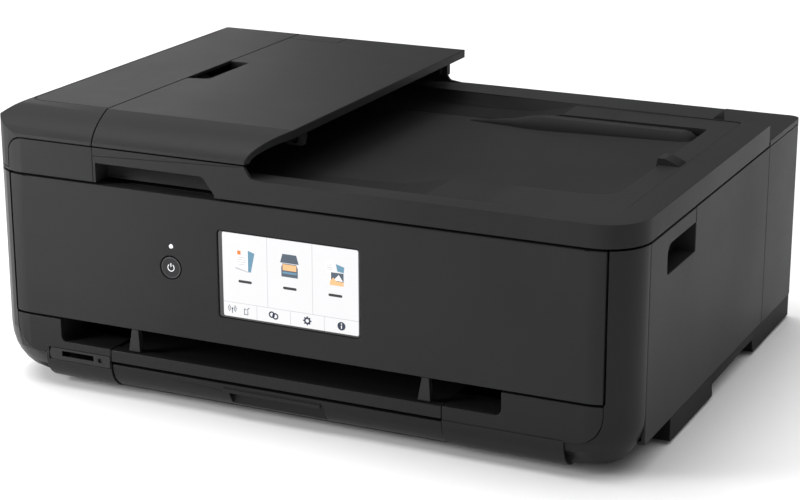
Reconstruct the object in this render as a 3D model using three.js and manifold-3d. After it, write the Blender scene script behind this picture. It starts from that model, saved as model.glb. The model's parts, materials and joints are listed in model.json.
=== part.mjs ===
// An all-in-one inkjet printer with a document feeder on its lid, a flatbed scanner, a tilting
// control panel, a front paper cassette and a rear paper slot. Millimetres, +Z up; the control
// panel faces -Y. The origin is at the bottom centre of the overall box.
import * as THREE from 'three';
import { mergeVertices } from 'three/addons/utils/BufferGeometryUtils.js';
import Module from 'manifold-3d';

const wasm = await Module();
wasm.setup();

// ---- Driving dimensions -------------------------------------------------------------------

const WIDTH = 468;
const DEPTH = 366;
const HEIGHT = 193;
const RIGHT = WIDTH / 2;
const LEFT = -RIGHT;
const FRONT = -DEPTH / 2;
const BACK = DEPTH / 2;

const WALL = 2.5; // moulded wall
const SEAM = 0.4; // gap between two fixed covers
const FRONT_CORNER = 30; // plan radius of both front corners
const REAR_CORNER = 8;
const ROLL = 20; // radius that turns the front face under the body
const ROLL_BOTTOM = 3; // lowest point of the rolled front pieces
const SIDE_CORNER = 26; // radius between the bottom and the sides, seen from the front
const CORNER_HEIGHT = 36; // height over which both lower front corners round off

const BODY = { base: 2, raised: 12.5, skirt: 19, top: 150.5, seamY: -155, rearSeamY: 102 };
const FOOT = { radius: 9, height: 1.7, x: 194, frontY: -125, rearY: 150 };
const PANEL = { half: 215, bottom: 52, top: 150.3, depth: 11, pivotY: -180.5, pivotZ: 148 };
const SCREEN = { left: -53, right: 51, bottom: 70.6, top: 130.8, corner: 2.5 };
const BUTTON = { x: -88.8, z: 99.9, radius: 7.6 };
const LAMP = { x: -88.5, z: 114.6, radius: 1.4 };
const FRAME = { half: 215.3, top: 50.5, line: 24.5, corner: 19, depth: 25 };
const SLOT = { left: -178.7, right: 148.7, bottom: 34.6, corner: 4 };
const TRAY = { left: -138.6, right: 107.5, bottom: 26, top: 34.3 };
const BODY_SEAM = { left: -192.5, right: 191 }; // where the rolled bottom meets the corner shells
const CASSETTE = { top: 23.6, bottom: 4.9, back: 125, wall: 2, faceY: -182 };
const HANDLE = { left: -52, right: 21, bottom: 18, top: 20.4 };
const CARD = { left: -189.2, right: -140.2, bottom: 20.6, top: 29 };

const LID = { bottom: 152, top: 167, back: 133, rightEnd: 100.9, notchX: 191 };
const FEEDER = {
  seam: -157.5, frontSeam: -147.2, room: -152, groove: 176, crease: -146, corner: 12, roll: 12.5,
  drop: 24, start: 0.5,
};
const FLAP = { right: -15, diagonalX: -31.6, thickness: 6, pivotX: -22, pivotZ: 183 };
const GRIP = { left: -144.8, right: -54.2, topRight: -62.8, top: 165.3, depth: 15 };
const BORDER = { front: -166, right: 213.5, back: 111, backRight: 99.5, corner: 26 };
const FLOOR = {
  front: -119, right: 199, back: 72, left: 156, middle: 157, rightZ: 160.5, ledge: 166.4,
};

const SCANNER = { half: 228, front: -168, back: 130, bottom: 126, top: 149.7 };
const GLASS = { left: -156, right: 146, front: -121, back: 97, bottom: 146.9, top: 149.4 };
const STRIP_GLASS = { left: -197, right: -177 };
const REAR_COVER = { left: -206, right: 176, front: 137.7, top: 155, bottom: 152.2 };
const SCAN_HINGE = { y: 139, z: 143, radius: 2.4 };
const MID = { half: 214, front: -154, back: 126, bottom: 31, top: 122, wall: 3 };

// ---- Solids -------------------------------------------------------------------------------

function solidOf(geometry) {
  const bare = geometry.clone();
  bare.deleteAttribute('normal');
  bare.deleteAttribute('uv');
  const merged = mergeVertices(bare, 1e-4);
  return new wasm.Manifold(new wasm.Mesh({
    numProp: 3,
    vertProperties: Float32Array.from(merged.attributes.position.array),
    triVerts: Uint32Array.from(merged.index.array),
  }));
}

function geometryOf(solid) {
  const mesh = solid.getMesh();
  const geometry = new THREE.BufferGeometry();
  geometry.setAttribute('position', new THREE.BufferAttribute(mesh.vertProperties, 3));
  geometry.setIndex(new THREE.BufferAttribute(mesh.triVerts, 1));
  geometry.computeVertexNormals();
  return geometry;
}

function join(...solids) {
  return solids.reduce((sum, solid) => sum.add(solid));
}

function cut(solid, ...tools) {
  return tools.reduce((rest, tool) => rest.subtract(tool), solid);
}

function common(...solids) {
  return solids.reduce((rest, solid) => rest.intersect(solid));
}

// A box between two corners; the limits of each axis come in either order.
function box(x0, x1, y0, y1, z0, z1) {
  const geometry = new THREE.BoxGeometry(Math.abs(x1 - x0), Math.abs(y1 - y0), Math.abs(z1 - z0));
  geometry.translate((x0 + x1) / 2, (y0 + y1) / 2, (z0 + z1) / 2);
  return solidOf(geometry);
}

// A closed outline from corners [a, b] or [a, b, radius]; rounded corners become arcs.
function outline(corners, steps = 6) {
  const points = [];
  corners.forEach(([a, b, radius = 0], index) => {
    const here = new THREE.Vector2(a, b);
    if (radius === 0) {
      points.push(here);
      return;
    }
    const toward = (corner) => new THREE.Vector2(corner[0], corner[1]).sub(here).normalize();
    const before = toward(corners[(index + corners.length - 1) % corners.length]);
    const after = toward(corners[(index + 1) % corners.length]);
    const half = Math.acos(THREE.MathUtils.clamp(before.dot(after), -1, 1)) / 2;
    const middle = before.clone().add(after).normalize();
    const centre = here.clone().addScaledVector(middle, radius / Math.sin(half));
    const start = here.clone().addScaledVector(before, radius / Math.tan(half)).sub(centre);
    const turn = (Math.PI - 2 * half) * Math.sign(after.cross(before));
    for (let step = 0; step <= steps; step += 1) {
      points.push(start.clone().rotateAround(new THREE.Vector2(), turn * step / steps).add(centre));
    }
  });
  return new THREE.Shape(points);
}

function prism(shape, length) {
  return new THREE.ExtrudeGeometry(shape, { depth: length, bevelEnabled: false });
}

// An outline in X and Y, raised from z0 to z1.
function alongZ(shape, z0, z1) {
  return solidOf(prism(shape, z1 - z0).translate(0, 0, z0));
}

// An outline in X and Z, carried from y0 to y1.
function alongY(shape, y0, y1) {
  return solidOf(prism(shape, y1 - y0).rotateX(Math.PI / 2).translate(0, y1, 0));
}

// An outline in Y and Z, carried from x0 to x1.
function alongX(shape, x0, x1) {
  const cycle = new THREE.Matrix4().set(0, 0, 1, x0, 1, 0, 0, 0, 0, 1, 0, 0, 0, 0, 0, 1);
  return solidOf(prism(shape, x1 - x0).applyMatrix4(cycle));
}

// A turned part: the profile lists [radius, distance] along its axis, which starts at `place`.
function turned(profile, axis, place, sides = 16) {
  const geometry = new THREE.LatheGeometry(profile.map(([r, d]) => new THREE.Vector2(r, d)), sides);
  if (axis === 'x') geometry.rotateZ(-Math.PI / 2);
  if (axis === 'z') geometry.rotateX(Math.PI / 2);
  return solidOf(geometry.translate(...place));
}

function rod(radius, length, axis, place, sides = 16) {
  return turned([[0, 0], [radius, 0], [radius, length], [0, length]], axis, place, sides);
}

// ---- Outer outlines, shared by every cover -------------------------------------------------

function footprint(inset, steps = 8) {
  return outline([
    [LEFT + inset, FRONT + inset, FRONT_CORNER - inset],
    [RIGHT - inset, FRONT + inset, FRONT_CORNER - inset],
    [RIGHT - inset, BACK - inset, REAR_CORNER - inset],
    [LEFT + inset, BACK - inset, REAR_CORNER - inset],
  ], steps);
}

function bodyBlock(inset) {
  return alongZ(footprint(inset), 0, HEIGHT);
}

// The front face turning under the body, as a solid that fills everything behind it.
function rolledBlock(inset) {
  const side = outline([
    [FRONT + inset, HEIGHT],
    [FRONT + inset, ROLL_BOTTOM + inset, ROLL - inset],
    [BACK, ROLL_BOTTOM + inset],
    [BACK, HEIGHT],
  ], 8);
  return alongX(side, LEFT, RIGHT);
}

// One lower front corner, where the column, the rolled front and the rounded side run together.
function cornerBlock(side, inset) {
  const steps = 8;
  const [midX, midY] = [RIGHT - FRONT_CORNER, FRONT + FRONT_CORNER];
  const round = FRONT_CORNER - inset;
  const [innerX, rearY, top] = [midX - 24, midY + 30, BODY.top + 1];
  const points = [[innerX, FRONT + inset, top], [innerX, rearY, top], [RIGHT - inset, rearY, top]];
  points.push([innerX, rearY, ROLL_BOTTOM + inset]);
  for (let step = 0; step <= steps; step += 1) {
    const angle = (step / steps) * Math.PI / 2;
    const [sine, cosine] = [Math.sin(angle), Math.cos(angle)];
    points.push([
      innerX, FRONT + ROLL - (ROLL - inset) * cosine, ROLL_BOTTOM + ROLL - (ROLL - inset) * sine,
    ]);
    points.push([
      RIGHT - SIDE_CORNER + (SIDE_CORNER - inset) * cosine, rearY,
      ROLL_BOTTOM + SIDE_CORNER - (SIDE_CORNER - inset) * sine,
    ]);
    points.push([midX + round * sine, midY - round * cosine, top]);
    for (let level = 0; level < steps; level += 1) {
      const down = (level / steps) * Math.PI / 2;
      const reach = round * Math.cos(down);
      points.push([
        midX + reach * sine, midY - reach * cosine,
        ROLL_BOTTOM + CORNER_HEIGHT - (CORNER_HEIGHT - inset) * Math.sin(down),
      ]);
    }
  }
  return wasm.Manifold.hull(points.map(([x, y, z]) => [side * x, y, z]));
}

// ---- Body shells ---------------------------------------------------------------------------

// One front corner: the column beside the panel and the corner of the rolled bottom.
function frontColumn(side) {
  const innerX = side * (PANEL.half + 1.5);
  const seamX = side > 0 ? BODY_SEAM.right : BODY_SEAM.left;
  const bottomX = side * (FRAME.half + SEAM);
  const face = outline([
    [side * (RIGHT + 1), BODY.top],
    [side * (RIGHT + 1), 0],
    [seamX + side * SEAM / 2, 0],
    [seamX + side * SEAM / 2, FRAME.line - SEAM],
    [bottomX, FRAME.line - SEAM, FRAME.corner],
    [bottomX, PANEL.bottom],
    [innerX, PANEL.bottom],
    [innerX, BODY.top],
  ]);
  const whole = common(alongY(face, FRONT, BODY.seamY), cornerBlock(side, 0));
  const room = cornerBlock(side, WALL);
  const upper = box(innerX + side * WALL, side * RIGHT, FRONT, BODY.seamY + 1, 48, BODY.top - WALL);
  const lower = box(seamX + side * WALL, side * RIGHT, FRONT, BODY.seamY + 1, 0, FRAME.line - 3);
  return cut(whole, common(room, upper), common(room, lower));
}

// One side wall with its folded-in lower lip and the closed cup of its hand grip.
function sideCover(side) {
  const start = BODY.seamY + SEAM;
  const end = BODY.rearSeamY - SEAM;
  const ring = cut(bodyBlock(0), bodyBlock(WALL));
  const wall = common(ring, box(side * 200, side * RIGHT, start, end, BODY.skirt, BODY.top));
  const lip = box(side * 229, side * (RIGHT - 1), start, end, BODY.skirt, BODY.skirt + WALL);
  const cup = { front: -122, back: -66, bottom: 121, top: 140.5, depth: 14 };
  const mouth = outline([
    [cup.front, cup.bottom, 2],
    [cup.back, cup.bottom, 1],
    [cup.back, cup.top, 1],
    [cup.front, cup.top, 7],
  ], 4);
  const ends = [side * (RIGHT - cup.depth), side * (RIGHT + 1)];
  const hollow = alongX(mouth, Math.min(...ends), Math.max(...ends));
  const shell = box(
    side * (RIGHT - cup.depth - WALL), side * (RIGHT - 1),
    cup.front - WALL, cup.back + WALL, cup.bottom - WALL, cup.top + WALL,
  );
  const line = box(
    side * (RIGHT - 0.6), side * (RIGHT + 1), cup.back - 0.3, cup.back + 0.3, cup.top, BODY.top + 1,
  );
  return cut(join(wall, lip, shell), hollow, line);
}

// The back of the body: both rear corners, the rear wall and the low deck around the rear slot.
function rearCover() {
  const start = BODY.rearSeamY;
  const ring = cut(bodyBlock(0), bodyBlock(WALL));
  const walls = common(ring, box(LEFT, RIGHT, start, BACK, BODY.skirt, REAR_COVER.top));
  const deckPlan = outline([
    [LEFT, REAR_COVER.front],
    [LEFT, BACK, REAR_CORNER],
    [RIGHT, BACK, REAR_CORNER],
    [RIGHT, start],
    [LID.notchX + 1.5, start],
    [LID.notchX + 1.5, REAR_COVER.front],
  ]);
  const deck = alongZ(deckPlan, REAR_COVER.top - WALL, REAR_COVER.top);
  const well = box(
    REAR_COVER.left - SEAM, REAR_COVER.right + SEAM, REAR_COVER.front - 1, BACK + 1,
    REAR_COVER.bottom - 0.3, REAR_COVER.top + 1,
  );
  const brackets = [[-228, -222.4], [192.4, 198]].map(([x0, x1]) => box(
    x0, x1, SCAN_HINGE.y - 4, SCAN_HINGE.y + 6, SCAN_HINGE.z - 4, REAR_COVER.top - 1,
  ));
  const underLid = box(LEFT - 1, -100, start - 1, REAR_COVER.front, BODY.top, 160);
  const line = common(
    cut(bodyBlock(0), bodyBlock(1)), box(LEFT, RIGHT, start, BACK, BODY.top, BODY.top + 0.8),
  );
  const inlet = box(-197, -171, 170, BACK + 1, 40, 60);
  const port = box(177, 193, 170, BACK + 1, 60, 74);
  return cut(join(walls, deck, ...brackets), well, underLid, line, inlet, port);
}

// The tray that everything is screwed to, with stepped blocks under both sides.
function bottomPan() {
  const [half, inner] = [228.5, 206];
  const rim = 30;
  const [front, step, rear] = [-146, -103, 178];
  const tunnel = { left: TRAY.left - 2.5, right: TRAY.right + 2.5, floor: 4.2 };
  const profile = (start, top, end) => outline([
    [start, top], [start, BODY.base, 2], [-11, BODY.base, 2], [-15, BODY.raised - 1.5, 2], [54, BODY.raised],
    [80, BODY.raised], [84, BODY.base, 1], [end, BODY.base, 2], [end, top],
  ], 3);
  const blocks = alongX(profile(step, rim, rear), -half, half);
  const skirt = common(
    alongX(profile(step, BODY.skirt - SEAM, BACK), LEFT, RIGHT), bodyBlock(0.4),
  );
  const nose = box(-inner, inner, front, step + 1, BODY.base, rim);
  const middle = box(tunnel.left - WALL, tunnel.right + WALL, front + 4, rear - 2, BODY.base, rim);
  const rooms = [];
  for (const side of [-1, 1]) {
    const edge = side < 0 ? tunnel.left - WALL : tunnel.right + WALL;
    const span = (reach) => [Math.min(edge, side * reach), Math.max(edge, side * reach)];
    rooms.push(box(...span(inner - WALL), front + WALL, step + WALL, BODY.base + WALL, rim + 1));
    rooms.push(box(...span(half - WALL), step + WALL, -17.5, BODY.base + WALL, rim + 1));
    rooms.push(box(...span(half - WALL), -18, 86.6, 15, rim + 1));
    rooms.push(box(...span(half - WALL), 86.5, rear - WALL, BODY.base + WALL, rim + 1));
  }
  const passage = box(tunnel.left, tunnel.right, front - 1, 170, tunnel.floor, rim + 1);
  return cut(join(blocks, skirt, nose, middle), ...rooms, passage);
}

function frameFace(side, trayX, slotX) {
  const seamX = side > 0 ? BODY_SEAM.right : BODY_SEAM.left;
  return outline([
    [trayX, 0],
    [seamX - side * SEAM / 2, 0],
    [seamX - side * SEAM / 2, FRAME.line],
    [side * FRAME.half, FRAME.line, FRAME.corner],
    [side * FRAME.half, FRAME.top],
    [slotX, FRAME.top],
    [slotX, SLOT.bottom, SLOT.corner],
    [trayX, SLOT.bottom],
  ]);
}

// The fixed moulding beside the trays: flat above, rolled under below, notched for the slot.
function frontFrame(side) {
  const trayX = side > 0 ? TRAY.right + 0.6 : TRAY.left - 0.6;
  const slotX = side > 0 ? SLOT.right : SLOT.left;
  const whole = common(
    alongY(frameFace(side, trayX, slotX), FRONT, FRONT + FRAME.depth), bodyBlock(0), rolledBlock(0),
  );
  const room = common(bodyBlock(WALL), rolledBlock(WALL));
  const rear = FRONT + FRAME.depth + 1;
  const upper = box(slotX + side * WALL, side * (FRAME.half - WALL), FRONT, rear, 30, FRAME.top - WALL);
  const seamX = side > 0 ? BODY_SEAM.right : BODY_SEAM.left;
  const lower = box(trayX + side * WALL, seamX - side * WALL, FRONT, rear, 0, SLOT.bottom - WALL);
  const groove = box(trayX, seamX, FRONT - 1, FRONT + 0.5, 25, 25.5);
  return cut(whole, common(room, upper), common(room, lower), groove);
}

// The left moulding also holds the memory card slot in a shallow seat.
function frontFrameLeft() {
  const seat = box(
    CARD.left - SEAM, CARD.right + SEAM, FRONT - 1, FRONT + 1.4, CARD.bottom - SEAM, CARD.top + SEAM,
  );
  const reader = box(-181, -152, FRONT - 1, FRONT + 24, 22.5, 28.5);
  return cut(frontFrame(-1), seat, reader);
}

function cardSlotPlate() {
  const face = outline([
    [CARD.left, CARD.bottom, 3.5], [CARD.right, CARD.bottom, 1], [CARD.right, CARD.top, 1],
    [CARD.left, CARD.top, 3.5],
  ], 4);
  const plate = alongY(face, FRONT + 0.1, FRONT + 1.1);
  const slot = box(-179, -153.4, FRONT - 1, FRONT + 3, 23.6, 27.4);
  const eye = rod(1.7, 3, 'y', [-148.2, FRONT - 1, 24.8], 12);
  return cut(plate, slot, eye);
}

// ---- Control panel -------------------------------------------------------------------------

function operationPanel() {
  const rear = FRONT + PANEL.depth;
  const whole = common(
    box(-PANEL.half, PANEL.half, FRONT, rear, PANEL.bottom, PANEL.top), bodyBlock(0),
  );
  const topCut = alongX(outline([
    [FRONT - 1, PANEL.top - 1.2], [FRONT + 1.2, PANEL.top + 1], [FRONT - 1, PANEL.top + 1],
  ]), LEFT, RIGHT);
  const room = common(
    bodyBlock(WALL + 0.5),
    box(-PANEL.half + WALL, PANEL.half - WALL, FRONT, rear + 1, PANEL.bottom + WALL, PANEL.top - WALL),
  );
  const window = alongY(outline([
    [SCREEN.left, SCREEN.bottom, SCREEN.corner], [SCREEN.right, SCREEN.bottom, SCREEN.corner],
    [SCREEN.right, SCREEN.top, SCREEN.corner], [SCREEN.left, SCREEN.top, SCREEN.corner],
  ], 4), FRONT - 1, FRONT + 6);
  const buttonHole = rod(BUTTON.radius + 0.6, 8, 'y', [BUTTON.x, FRONT - 1, BUTTON.z], 32);
  const lampHole = rod(LAMP.radius + 0.3, 8, 'y', [LAMP.x, FRONT - 1, LAMP.z], 12);
  return cut(whole, topCut, room, window, buttonHole, lampHole);
}

function panelBack() {
  const inner = PANEL.half - WALL - 2;
  const y = FRONT + PANEL.depth;
  return box(-inner, inner, y - 3, y - 0.5, PANEL.bottom + 4, PANEL.top - 4);
}

function touchScreen() {
  const gap = 0.4;
  const face = outline([
    [SCREEN.left + gap, SCREEN.bottom + gap, SCREEN.corner - gap],
    [SCREEN.right - gap, SCREEN.bottom + gap, SCREEN.corner - gap],
    [SCREEN.right - gap, SCREEN.top - gap, SCREEN.corner - gap],
    [SCREEN.left + gap, SCREEN.top - gap, SCREEN.corner - gap],
  ], 4);
  return alongY(face, FRONT + 0.8, FRONT + 4.5);
}

function powerButton() {
  const profile = [[0, 0], [BUTTON.radius - 0.5, 0], [BUTTON.radius, 0.5], [BUTTON.radius, 5], [0, 5]];
  return turned(profile, 'y', [BUTTON.x, FRONT + 0.2, BUTTON.z], 32);
}

function statusLamp() {
  return rod(LAMP.radius, 3, 'y', [LAMP.x, FRONT + 0.1, LAMP.z], 12);
}

// ---- Paper trays ---------------------------------------------------------------------------

function outputTray() {
  const strip = box(TRAY.left, TRAY.right, FRONT, FRONT + 9, TRAY.bottom, TRAY.top);
  const plate = box(TRAY.left + 1, TRAY.right - 1, FRONT + 8, -70, 31, 33.4);
  const ribs = [];
  for (const x of [TRAY.left + 1, -60, 27, TRAY.right - 3.4]) {
    ribs.push(box(x, x + 2.4, FRONT + 8, -72, TRAY.bottom + 1, 31.5));
  }
  return join(strip, plate, ...ribs);
}

function cassette() {
  const left = TRAY.left + 0.8;
  const right = TRAY.right - 0.8;
  const bin = box(left, right, FRONT + 12, CASSETTE.back, CASSETTE.bottom, CASSETTE.top - 1);
  const room = box(
    left + CASSETTE.wall, right - CASSETTE.wall, FRONT + 16, CASSETTE.back - CASSETTE.wall,
    CASSETTE.bottom + CASSETTE.wall, CASSETTE.top + 1,
  );
  const face = alongX(outline([
    [CASSETTE.faceY, CASSETTE.top], [CASSETTE.faceY, ROLL_BOTTOM + 0.6, ROLL - 0.6],
    [FRONT + 30, ROLL_BOTTOM + 0.6], [FRONT + 30, CASSETTE.bottom + 0.5],
    [FRONT + 13, CASSETTE.bottom + 0.5],
    [FRONT + 13, CASSETTE.top],
  ], 6), TRAY.left, TRAY.right);
  const finger = box(HANDLE.left + 4, HANDLE.right + 2, FRONT - 1, FRONT + 8, 0, HANDLE.bottom);
  const bar = box(HANDLE.left, HANDLE.right, FRONT, FRONT + 5, HANDLE.bottom, HANDLE.top);
  return join(cut(join(cut(bin, room), face), finger), bar);
}

// A side fence of the cassette, standing on its own foot.
function cassetteGuide(side) {
  const centre = (TRAY.left + TRAY.right) / 2;
  const floor = CASSETTE.bottom + CASSETTE.wall + 0.4;
  const fence = centre + side * 106;
  const wall = box(fence, fence + side * 2.4, -70, 30, floor, CASSETTE.top - 2.5);
  const foot = box(fence + side * 2, fence - side * 26, -28, -12, floor, floor + 1.6);
  return join(wall, foot);
}

function cassetteEndGuide() {
  const floor = CASSETTE.bottom + CASSETTE.wall + 0.4;
  const rear = CASSETTE.back - CASSETTE.wall - 0.6;
  const wall = box(-45, 15, rear - 2.4, rear, floor, CASSETTE.top - 2.5);
  const foot = box(-30, 0, rear - 34, rear - 2, floor, floor + 1.6);
  return join(wall, foot);
}

function slotSupport(x) {
  const width = 9;
  const narrow = 5;
  const face = outline([[x, 35], [x + width, 35], [x + width - 1, 51], [x + width - 1 - narrow, 51]]);
  return alongY(face, -180.5, -175.5);
}

// ---- Inner frame and print mechanism -------------------------------------------------------

function midFrame() {
  const { half, front, back, bottom, top, wall } = MID;
  const tube = cut(
    box(-half, half, front, back, bottom, top),
    box(-half + wall, half - wall, front + wall, back - wall, bottom - 1, top + 1),
  );
  const exit = box(SLOT.left, SLOT.right, front - 1, front + wall + 1, bottom - 1, 54);
  const rearFeed = box(-150, 120, back - wall - 1, back + 1, 60, 96);
  const bridge = box(-half, half, back - wall, REAR_COVER.front - 2, top - 14, top - 11);
  return cut(join(tube, bridge), exit, rearFeed);
}

const CARRIAGE = { left: 104, right: 196, front: -52, back: 22, bottom: 46, top: 86 };
const SHAFT = { y: 13, z: 56, radius: 4 };
const MOTOR = { x: -196, z: 80 };

function carriageRail() {
  const profile = outline([
    [32, 60], [34.5, 60], [34.5, 103], [14, 103], [14, 96], [16.5, 96], [16.5, 100.5], [32, 100.5],
  ]);
  return cut(alongX(profile, -210.5, 210.5), rod(8, 20, 'y', [MOTOR.x, 25, MOTOR.z], 16));
}

function carriageShaft() {
  return rod(SHAFT.radius, 421, 'x', [-210.5, SHAFT.y, SHAFT.z]);
}

function driveBelt() {
  const loop = (inset) => outline([
    [-204 + inset, 72 + inset, 7.9 - inset], [204 - inset, 72 + inset, 7.9 - inset],
    [204 - inset, 88 - inset, 7.9 - inset], [-204 + inset, 88 - inset, 7.9 - inset],
  ], 5);
  return cut(alongY(loop(0), 25, 30), alongY(loop(1.4), 24, 31));
}

function carriageMotor() {
  const can = rod(14, 30, 'y', [MOTOR.x, 37, MOTOR.z], 20);
  const spindle = rod(6.1, 14, 'y', [MOTOR.x, 24.5, MOTOR.z], 16);
  return join(can, spindle);
}

const TANKS = [
  { name: 'pigment_black', width: 24 }, { name: 'yellow', width: 13.6 }, { name: 'cyan', width: 13.6 },
  { name: 'magenta', width: 13.6 }, { name: 'photo_black', width: 13.6 },
];
const TANK_GAP = 0.8;

function carriage() {
  const { left, right, front, back, bottom, top } = CARRIAGE;
  const block = box(left, right, front, back, bottom, top);
  const bay = box(left + WALL, right - WALL, front + WALL, 3, bottom + 6, top + 1);
  const bore = rod(SHAFT.radius + 0.4, 100, 'x', [left - 2, SHAFT.y, SHAFT.z]);
  const grip = box(left - 1, right + 1, 7, back + 1, 70, top + 1);
  return cut(block, bay, bore, grip);
}

// Ink tanks stand side by side in the carriage; each has a lever tab at its front.
function inkTank(index) {
  const before = TANKS.slice(0, index).reduce((sum, tank) => sum + tank.width + TANK_GAP, 0);
  const left = CARRIAGE.left + WALL + 0.8 + before;
  const right = left + TANKS[index].width;
  const front = CARRIAGE.front + WALL + 0.6;
  const profile = outline([
    [front, CARRIAGE.bottom + 6.5], [2.4, CARRIAGE.bottom + 6.5], [2.4, CARRIAGE.top + 8],
    [front + 8, CARRIAGE.top + 8, 3], [front + 6, CARRIAGE.top + 2], [front, CARRIAGE.top + 2, 1],
  ], 3);
  return alongX(profile, left, right);
}

function maintenanceStation() {
  const basin = box(108, 198, -50, 8, 32, 44.8);
  const well = box(112, 194, -46, 4, 40, 46);
  const caps = [box(118, 146, -38, -6, 38, 45), box(152, 186, -38, -6, 38, 45)];
  return join(cut(basin, well), ...caps);
}

function platen() {
  const plate = box(-210.4, 102, -50, 14, 36, 39);
  const ribs = [];
  for (let x = -200; x <= 95; x += 22) {
    ribs.push(box(x, x + 2, -46, 10, 38, 42));
  }
  return join(plate, ...ribs);
}

// A shaft with evenly spaced tyres, turned in one profile.
function tyredShaft(shaftRadius, tyreRadius, length, tyres, tyreWidth) {
  const profile = [[0, 0], [shaftRadius, 0]];
  const pitch = length / tyres;
  for (let index = 0; index < tyres; index += 1) {
    const start = pitch * (index + 0.5) - tyreWidth / 2;
    profile.push([shaftRadius, start], [tyreRadius, start]);
    profile.push([tyreRadius, start + tyreWidth], [shaftRadius, start + tyreWidth]);
  }
  profile.push([shaftRadius, length], [0, length]);
  return profile;
}

function paperFeedRoller() {
  return turned(tyredShaft(3, 7, 421, 5, 40), 'x', [-210.5, 31, 43]);
}

function ejectRoller() {
  return turned(tyredShaft(2.5, 6, 421, 8, 9), 'x', [-210.5, -62, 43]);
}

function powerSupply() {
  return box(-206, -140, 72, 118, 42, 78);
}

function mainBoard() {
  const board = box(204, 206, 44, 118, 40, 112);
  const chip = box(199, 204.5, 66, 90, 70, 94);
  return join(board, chip);
}

function powerInlet() {
  const body = box(-196.5, -171.5, 168, BACK - 0.6, 40.5, 59.5);
  const mouth = alongY(outline([
    [-193, 44, 5], [-175, 44, 5], [-175, 56, 5], [-193, 56, 5],
  ], 4), 172, BACK + 1);
  const pins = [rod(1.2, 8, 'y', [-188, 171, 50], 8), rod(1.2, 8, 'y', [-180, 171, 50], 8)];
  return join(cut(body, mouth), ...pins);
}

function usbPort() {
  const body = box(177.5, 192.5, 168, BACK - 0.6, 60.5, 73.5);
  const mouth = box(180, 190, 172, BACK + 1, 62.5, 71.5);
  const tongue = box(182.5, 187.5, 171, 179, 65.5, 68.5);
  return join(cut(body, mouth), tongue);
}

function foot(x, y) {
  const { radius, height } = FOOT;
  return turned([[0, 0], [radius - 0.8, 0], [radius, 0.8], [radius, height], [0, height]], 'z', [x, y, 0]);
}

// ---- Scanner -------------------------------------------------------------------------------

function scannerFrame() {
  const { half, front, back, bottom, top } = SCANNER;
  const inner = half - 3;
  const nose = PANEL.half - 0.5;
  const shoulder = BODY.seamY + 2;
  const plan = outline([
    [-half, shoulder], [-nose, shoulder], [-nose, front, 3], [nose, front, 3], [nose, shoulder],
    [half, shoulder], [half, 100], [LID.notchX, 100], [LID.notchX, back, 2], [-half, back, 2],
  ], 3);
  const whole = alongZ(plan, bottom, top);
  const room = join(
    box(-inner, LID.notchX - 3, front + 4, back - 3, bottom + 2.5, top - 3.5),
    box(0, inner, front + 4, 97, bottom + 2.5, top - 3.5),
  );
  const grips = [-1, 1].map((side) => box(side * 213, side * (half + 1), -130, -58, bottom - 1, 145));
  const windowAbove = box(
    GLASS.left - 0.4, GLASS.right + 0.4, GLASS.front - 0.4, GLASS.back + 0.4, GLASS.bottom - 0.4, top + 1,
  );
  const windowBelow = box(GLASS.left + 4, GLASS.right - 4, GLASS.front + 4, GLASS.back - 4, 140, top + 1);
  const stripAbove = box(
    STRIP_GLASS.left - 0.4, STRIP_GLASS.right + 0.4, GLASS.front - 0.4, GLASS.back + 0.4,
    GLASS.bottom - 0.4, top + 1,
  );
  const stripBelow = box(
    STRIP_GLASS.left + 3, STRIP_GLASS.right - 3, GLASS.front + 4, GLASS.back - 4, 140, top + 1,
  );
  const lugs = [-218, 179].map((x) => box(
    x, x + 9, back - 1, SCAN_HINGE.y + 4, SCAN_HINGE.z - 4, SCAN_HINGE.z + 4,
  ));
  const bore = rod(SCAN_HINGE.radius + 0.5, 2 * half, 'x', [-half, SCAN_HINGE.y, SCAN_HINGE.z], 16);
  const cupRoom = [-1, 1].map((side) => box(
    side * 210.5, side * (half - 0.01), -133, -55, bottom + 2.5 - 0.01, 147.5,
  ));
  const cups = cupRoom.map((walls) => common(walls, whole));
  return cut(join(cut(whole, room), ...cups, ...lugs), ...grips, windowAbove, windowBelow,
    stripAbove, stripBelow, cut(bore, box(-half, half, -200, back - 2, 0, HEIGHT)));
}

function hingePin(x) {
  return rod(SCAN_HINGE.radius, 17, 'x', [x, SCAN_HINGE.y, SCAN_HINGE.z]);
}

function glassPane(left, right) {
  return box(left, right, GLASS.front, GLASS.back, GLASS.bottom, GLASS.top);
}

function scanBar() {
  const bar = box(-205, -183, GLASS.front + 6, GLASS.back - 6, 130, 140);
  const lens = box(-198, -190, GLASS.front + 8, GLASS.back - 8, 139, 142.5);
  return join(bar, lens);
}

// ---- Lid with its output tray --------------------------------------------------------------

function lidPlan(inset) {
  return outline([
    [LEFT + inset, FRONT + inset, FRONT_CORNER - inset],
    [RIGHT - inset, FRONT + inset, FRONT_CORNER - inset],
    [RIGHT - inset, LID.rightEnd - inset, 2],
    [LID.notchX - inset, LID.rightEnd - inset, 2],
    [LID.notchX - inset, LID.back - inset, 3],
    [LEFT + inset, LID.back - inset, FEEDER.corner - inset],
  ], 8);
}

// The border line around the sunken part of the lid.
function borderPlan(inset) {
  return outline([
    [FEEDER.room, BORDER.front + inset],
    [BORDER.right - inset, BORDER.front + inset, BORDER.corner - inset],
    [BORDER.right - inset, BORDER.backRight - inset, 4], [FEEDER.room, BORDER.back - inset],
  ], 8);
}

const FLAP_WALL_TOP = HEIGHT - FLAP.thickness - SEAM; // the back wall meets the flap's underside

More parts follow.
